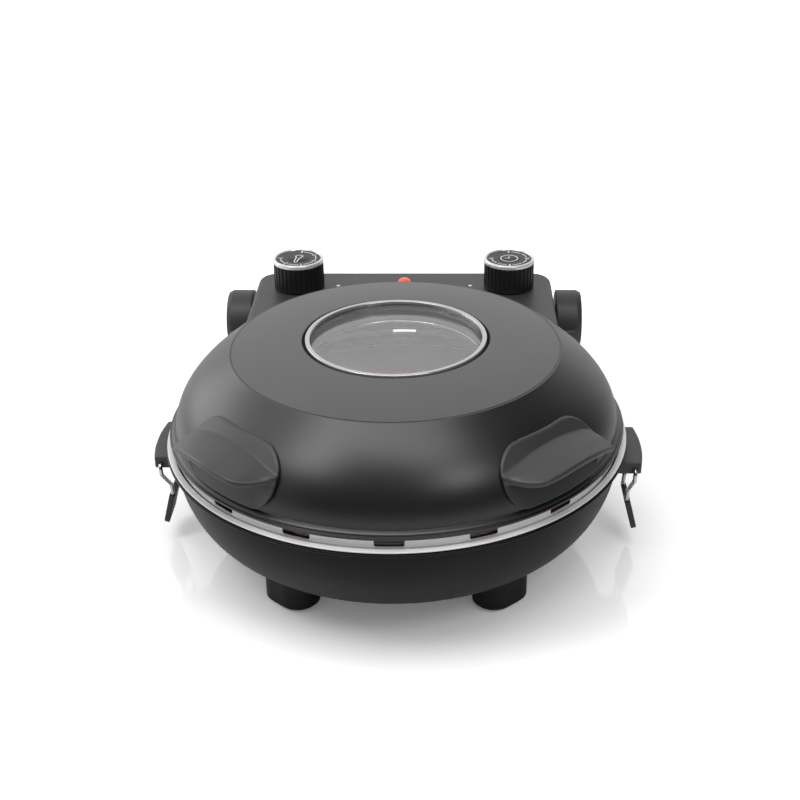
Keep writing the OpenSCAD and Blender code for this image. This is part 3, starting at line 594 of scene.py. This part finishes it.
# A shallow cone from the crown up to the window, with a rebate under its inner edge.
def makeDisc():
    slope = (disc["topZ"] - disc["edgeZ"]) / (disc["outR"] - disc["inR"])
    r = disc["round"]
    outline = [(disc["outR"] - disc["foot"], disc["seatZ"])]
    outline += arc(disc["outR"] - r, disc["edgeZ"] - r, r, 0, 84, 6)
    outline.append((disc["inR"] + disc["hollow"], disc["topZ"] - disc["hollow"] * slope))
    outline.append((disc["inR"] + disc["lip"][0], disc["topZ"] - disc["lip"][1]))
    outline += [(disc["inR"], disc["topZ"] - disc["drop"]), (disc["inR"], disc["rebateLow"])]
    rebateR = disc["inR"] + disc["rebate"]
    outline += [(rebateR, disc["rebateLow"]), (rebateR, disc["rebateTop"])]
    outline.append((lid["crownR"] - lid["flange"], disc["seatZ"]))
    turnPiece("discSkin", outline, "lid", "disc", ["lid_disc"])


bezel = {"inR": 64.0, "outR": 67.6, "glassR": 66.6, "seatZ": 170.2, "glassZ": 174.2, "topZ": 176.4,
         "round": 0.9}
windowGapShade = {"outR": 69.6, "lowZ": 170.4, "outZ": 173.3, "inZ": 174.0}
collar = {"rimR": 63.4, "rimZ": 159.6, "rim": 0.8}


# The window's ring, a black strip in the gap round it for that gap's painted shade, and the rolled edge of
# the collar under the glass.
def makeBezel():
    r, z = bezel["round"], bezel["topZ"] - bezel["round"]
    outline = [(bezel["inR"], bezel["glassZ"]), (bezel["glassR"], bezel["glassZ"])]
    outline += [(bezel["glassR"], bezel["seatZ"]), (bezel["outR"], bezel["seatZ"])]
    outline += arc(bezel["outR"] - r, z, r, 0, 90) + arc(bezel["inR"] + r, z, r, 90, 180)
    turnPiece("bezelSkin", outline, "lid", "trim", ["window_bezel"], sharp=50)
    # A black strip in the gap round the ring: painted shade.
    strip = [(bezel["outR"], windowGapShade["lowZ"]), (windowGapShade["outR"], windowGapShade["lowZ"])]
    strip += [(windowGapShade["outR"], windowGapShade["outZ"]), (bezel["outR"], windowGapShade["inZ"])]
    turnPiece("bezelGapShade", strip, "lid", "rubber", steps=200)
    rim = rolledEdge(collar["rimR"], collar["rimZ"], collar["rim"])
    turnPiece("collarRim", rim, "lid", "chrome", steps=200)


makeLidShell()
makeDisc()
makeBezel()
print("lid, disc and window ring turned")

easedParts = [  # node, body, look and slot, voxel size and rounds of smoothing
    ("handle_{}", "lid", "handle", "handle_plastic", 0.55, 6),
    ("latch_{}_lever", "latch_{}", "lever", "lever_plastic", 0.45, 4),
    ("latch_bracket_{}", "base", "bracket", "bracket_plastic", 0.7, 3),
    ("hinge_bracket_{}", "base", "bracket", "bracket_plastic", 0.9, 3),
]
easing = {"pull": 0.5, "keep": 0.35}


# A copy of a moulded part, meshed evenly, with its edges eased and then thinned out.
def softCopy(node, body, look, size, rounds):
    mould = bpy.data.objects.new(node + "Mould", nodes[node].data.copy())
    bpy.context.scene.collection.objects.link(mould)
    even = mould.modifiers.new("even", "REMESH")
    even.mode = "VOXEL"
    even.voxel_size = size * mm
    ease = mould.modifiers.new("ease", "SMOOTH")
    ease.factor = easing["pull"]
    ease.iterations = rounds
    lighter = mould.modifiers.new("lighter", "DECIMATE")
    lighter.ratio = easing["keep"]
    mesh = bpy.data.meshes.new_from_object(mould.evaluated_get(bpy.context.evaluated_depsgraph_get()))
    bpy.data.objects.remove(mould)
    mesh.materials.clear()
    mesh.name = node + "Soft"
    finishPiece(node + "Soft", mesh, body, look, [node], 180)


for side in ("left", "right"):
    for node, body, look, slot, size, rounds in easedParts:
        softCopy(node.format(side), body.format(side), look, size, rounds)
print("moulded parts eased")

dial = {"x": 91.0, "y": 178.0 + bowlY, "z": 167.7, "lift": 0.1, "sink": 0.05, "markR": 15.2, "line": 0.8}


# A flat ribbon of even width along a path.
def ribbon(path, width, closed=False):
    points, faces = [], []
    count = len(path)
    for i in range(count):
        back = Vector(path[i - 1] if i or closed else path[i])
        ahead = Vector(path[(i + 1) % count] if i < count - 1 or closed else path[i])
        side = (ahead - back).normalized().orthogonal() * width / 2
        points += [Vector(path[i]) + side, Vector(path[i]) - side]
    for i in range(count if closed else count - 1):
        a, b = 2 * i, 2 * ((i + 1) % count)
        faces.append((a, a + 1, b + 1, b))
    return points, faces


# Paths on a dial go clockwise from its top.
def ringPath(radius, start, end, steps):
    turns = [math.radians(start + (end - start) * i / steps) for i in range(steps + 1)]
    return [(radius * math.sin(t), radius * math.cos(t)) for t in turns]


def tickPath(angle, low, high):
    s, c = math.sin(math.radians(angle)), math.cos(math.radians(angle))
    return [(low * s, low * c), (high * s, high * c)]


# Thin raised marks, from a list of paths with their widths.
def dialMarks(name, side, body, ribbons):
    points, faces = [], []
    for path, width, closed in ribbons:
        more, quads = ribbon(path, width, closed)
        base = len(points)
        points += [(side * dial["x"] + p[0], dial["y"] + p[1], dial["z"] + dial["lift"]) for p in more]
        faces += [[base + k for k in quad] for quad in quads]
    mesh = bpy.data.meshes.new(name)
    mesh.from_pydata([[v * mm for v in p] for p in points], [], faces)
    tool = bmesh.new()
    tool.from_mesh(mesh)
    bmesh.ops.recalc_face_normals(tool, faces=tool.faces)
    made = bmesh.ops.extrude_face_region(tool, geom=list(tool.faces))
    down = [v for v in made["geom"] if isinstance(v, bmesh.types.BMVert)]
    bmesh.ops.translate(tool, verts=down, vec=(0, 0, -(dial["lift"] + dial["sink"]) * mm))
    bmesh.ops.recalc_face_normals(tool, faces=tool.faces)
    tool.to_mesh(mesh)
    tool.free()
    finishPiece(name, mesh, body, "white", sharp=30)


heatDial = {"first": 7, "step": 53, "count": 6, "gap": 7, "tickLow": 13.2, "tickHigh": 17.6, "tick": 0.9,
            "firstTick": 1.5, "sign": 0.95, "bulb": (0.4, 4.6), "bulbSize": (3.1, 2.6),
            "stem": [(-2.3, -2.0), (-2.7, -6.6), (-2.7, -8.6), (-1.6, -9.4), (-0.5, -8.7), (-0.1, -6.6),
                     (0.4, -2.0)]}


# Six ticks with arcs between them and a thermometer in the middle.
def makeHeatDial():
    marks = []
    step, gap = heatDial["step"], heatDial["gap"]
    for i in range(heatDial["count"]):
        angle = heatDial["first"] + i * step
        width = heatDial["tick"] if i else heatDial["firstTick"]
        marks.append((tickPath(angle, heatDial["tickLow"], heatDial["tickHigh"]), width, False))
        if i < heatDial["count"] - 1:
            marks.append((ringPath(dial["markR"], angle + gap, angle + step - gap, 10), dial["line"], False))
    (x, y), (wide, tall) = heatDial["bulb"], heatDial["bulbSize"]
    turns = [math.radians(a) for a in range(-45, 226, 15)]
    bulb = [(x + wide * math.cos(t), y + tall * math.sin(t)) for t in turns]
    marks.append((bulb + heatDial["stem"], heatDial["sign"], True))
    dialMarks("heatMarks", -1, "knob_left", marks)


timeDial = {"step": 90, "count": 4, "gap": 9, "break": 3, "tickLow": 13.4, "tickHigh": 17.6, "tick": 1.3,
            "clockR": 7.3, "sign": 0.95, "hand": 0.9, "hands": [[(0, 4.2), (0, 0)], [(0, 0.2), (-3.8, 0.2)]]}


# Four ticks with two arcs in each gap but the last, and a clock in the middle.
def makeTimeDial():
    marks = []
    step, gap = timeDial["step"], timeDial["gap"]
    for i in range(timeDial["count"]):
        angle = i * step
        marks.append((tickPath(angle, timeDial["tickLow"], timeDial["tickHigh"]), timeDial["tick"], False))
        if i < timeDial["count"] - 1:
            middle = angle + step / 2
            left, right = middle - timeDial["break"], middle + timeDial["break"]
            for start, end in ((angle + gap, left), (right, angle + step - gap)):
                marks.append((ringPath(dial["markR"], start, end, 6), dial["line"], False))
    marks.append((ringPath(timeDial["clockR"], 0, 345, 23), timeDial["sign"], True))
    marks += [(hand, timeDial["hand"], False) for hand in timeDial["hands"]]
    dialMarks("timeMarks", 1, "knob_right", marks)


knobRing = {"inR": 18.95, "outR": 21.8, "lowZ": 165.3, "topZ": 168.6, "round": 1.5, "slope": 1.1,
            "bead": 0.3, "inDrop": 0.9, "steps": 96}
knobCap = {"outline": [(axisR, 167.7), (9.7, 167.7), (9.6, 167.76), (axisR, 167.76)], "steps": 64}


# The bright ring round a dial and the thin cap on the dial's middle.
def makeKnobRing(side, body):
    centre = (side * dial["x"], dial["y"])
    top, r, small = knobRing["topZ"], knobRing["round"], knobRing["bead"]
    outline = [(knobRing["inR"], knobRing["lowZ"]), (knobRing["outR"], knobRing["lowZ"])]
    outline += arc(knobRing["outR"] - r, top - r, r, 0, 90, 10)
    outline += arc(knobRing["inR"] + knobRing["slope"], top - small, small, 90, 150, 3)
    outline.append((knobRing["inR"], top - knobRing["inDrop"]))
    cap = turned(body + "Cap", knobCap["outline"], knobCap["steps"], centre)
    finishPiece(body + "Cap", cap, body, "knob")
    mesh = turned(body + "Ring", outline, knobRing["steps"], centre)
    finishPiece(body + "Ring", mesh, body, "knobTrim", [body + "_bezel"], 50)


# A small round bead, or a flat dot where it is squashed.
def makeBead(name, centre, size, flat, body, look):
    tool = bmesh.new()
    bmesh.ops.create_uvsphere(tool, u_segments=20, v_segments=10, radius=size * mm)
    bmesh.ops.scale(tool, vec=(1, 1, flat), verts=tool.verts)
    bmesh.ops.translate(tool, vec=[v * mm for v in centre], verts=tool.verts)
    mesh = bpy.data.meshes.new(name)
    tool.to_mesh(mesh)
    tool.free()
    finishPiece(name, mesh, body, look, sharp=60)


pointer = {"turn": 53, "r": 21.75, "z": 166.3, "size": 0.75, "flat": 0.9}
index = {"x": 57.5, "y": 178.9 + bowlY, "z": 142.0, "size": 1.7, "flat": 0.12}


# The red pointer on a knob and the white dot beside it on the housing.
def makePointers(side, body):
    turn = math.radians(pointer["turn"])
    x = side * (dial["x"] - pointer["r"] * math.sin(turn))
    spot = (x, dial["y"] - pointer["r"] * math.cos(turn), pointer["z"])
    makeBead(body + "Pointer", spot, pointer["size"], pointer["flat"], body, "red")
    spot = (side * index["x"], index["y"], index["z"])
    makeBead(body + "Index", spot, index["size"], index["flat"], "lid", "white")


makeHeatDial()
makeTimeDial()
for side, body in ((-1, "knob_left"), (1, "knob_right")):
    makeKnobRing(side, body)
    makePointers(side, body)
print("dial marks drawn")

camera = {"target": (40.7, bowlY, 100.0), "distance": 1031.4, "elevation": 28.5, "lens": 60.26,
          "sensor": 36.0, "shift": (-0.0636, 0.0321), "clip": (50.0, 50000.0)}


def makeCamera():
    data = bpy.data.cameras.new("camera")
    data.lens = camera["lens"]
    data.sensor_width = camera["sensor"]
    data.shift_x, data.shift_y = camera["shift"]
    data.clip_start, data.clip_end = camera["clip"][0] * mm, camera["clip"][1] * mm
    eye = bpy.data.objects.new("camera", data)
    bpy.context.scene.collection.objects.link(eye)
    tilt = math.radians(camera["elevation"])
    back = Vector((0, -math.cos(tilt), math.sin(tilt)))
    eye.location = (Vector(camera["target"]) + back * camera["distance"]) * mm
    eye.rotation_euler = (math.pi / 2 - tilt, 0, 0)
    bpy.context.scene.camera = eye


sky = {"light": 0.45, "front": 0.05, "turn": -35, "low": -0.2, "high": 0.55}


# Gloss mirrors a room that is white behind and to the left of the cooker and dim behind the camera.
# The camera sees plain white, also through glass, and the rest of the light is even.
def roomShine(root):
    ray = root.add("ShaderNodeTexCoord", out="Generated")
    x = root.add("ShaderNodeSeparateXYZ", None, {0: ray})
    turn = math.radians(sky["turn"])
    back = x * math.sin(turn) + x.output(1) * math.cos(turn)
    shine = sky["front"] + (1 - sky["front"]) * smooth(root, back, sky["low"], sky["high"])
    seen = root.add("ShaderNodeLightPath", out="Is Camera Ray")
    plain = root.maths("MAXIMUM", seen, seen.output("Is Transmission Ray"))
    strength = sky["light"] + (shine - sky["light"]) * seen.output("Is Glossy Ray")
    return strength + (1 - strength) * plain


floor = {"half": 6000.0, "color": 0.88, "rough": 0.06, "specular": 0.8, "gain": 0.55, "lift": 0.09,
         "near": 360, "far": 680, "cloud": 3.0, "cloudRange": 0.02}


# The floor fades to white away from the cooker where the camera sees it, and keeps the shadow beneath, which
# a little painted light lifts near the cooker.
def makeFloor():
    h = floor["half"]
    mesh = meshFrom("floor", [(-h, -h, 0), (h, -h, 0), (h, h, 0), (-h, h, 0)], [(0, 1, 2, 3)])
    piece = bpy.data.objects.new("floor", mesh)
    bpy.context.scene.collection.objects.link(piece)
    material, root, shader = newMaterial("paleFloor")
    x = root.add("ShaderNodeSeparateXYZ", None, {0: place(root)})
    y = x.output(1) - bowlY * mm
    far = smooth(root, (x * x + y * y) ** 0.5, floor["near"] * mm, floor["far"] * mm)
    seen = root.add("ShaderNodeLightPath", out="Is Camera Ray")
    cloud = grain(root, place(root), floor["cloud"])
    even = 1 - floor["cloudRange"] / 2
    tone = floor["color"] * (1 + floor["gain"] * seen) * (even + floor["cloudRange"] * cloud)
    root.plug(shader.inputs["Base Color"], tone)
    # Near the cooker the emission is painted light that lifts the shadow; further out it turns the floor
    # white.
    root.plug(shader.inputs["Emission Color"], seen * (floor["lift"] + (1 - floor["lift"]) * far))
    shader.inputs["Emission Strength"].default_value = 1.0
    shader.inputs["Roughness"].default_value = floor["rough"]
    shader.inputs["Specular IOR Level"].default_value = floor["specular"]
    mesh.materials.append(material)


aimZ = 120.0  # the lamps point at this height above the floor
lamps = [     # turn from the back towards the right, height above the horizon and distance from the cooker
    {"name": "overhead", "turn": 195, "height": 74, "away": 1300, "size": (1300, 500), "shine": 3.5},
    {"name": "leftKey", "turn": -125, "height": 48, "away": 1200, "size": (380, 380), "shine": 4.4},
    {"name": "rightKey", "turn": 143, "height": 41, "away": 1200, "size": (330, 330), "shine": 4.8},
    {"name": "leftSoft", "turn": -62, "height": 16, "away": 1500, "size": (900, 700), "shine": 1.6},
]


def makeLamp(lamp):
    data = bpy.data.lights.new(lamp["name"], "AREA")
    data.shape = "RECTANGLE"
    data.size, data.size_y = lamp["size"][0] * mm, lamp["size"][1] * mm
    data.energy = lamp["shine"] * math.pi * data.size * data.size_y
    light = bpy.data.objects.new(lamp["name"], data)
    bpy.context.scene.collection.objects.link(light)
    turn, height = math.radians(lamp["turn"]), math.radians(lamp["height"])
    ray = Vector((math.cos(height) * math.sin(turn), math.cos(height) * math.cos(turn), math.sin(height)))
    light.location = Vector((0, bowlY, aimZ)) * mm + ray * lamp["away"] * mm
    light.rotation_mode = "QUATERNION"
    light.rotation_quaternion = (-ray).to_track_quat("-Z", "Y")


def makeSky():
    world = bpy.data.worlds.new("studio")
    bpy.context.scene.world = world
    world.use_nodes = True
    backdrop = world.node_tree.nodes["Background"]
    root = Shade(world.node_tree)
    root.plug(backdrop.inputs["Strength"], roomShine(root))
    backdrop.inputs["Color"].default_value = (1, 1, 1, 1)


makeCamera()
makeFloor()
makeSky()
for lamp in lamps:
    makeLamp(lamp)
bpy.context.scene.view_settings.view_transform = "Standard"
print("camera, floor and light placed")
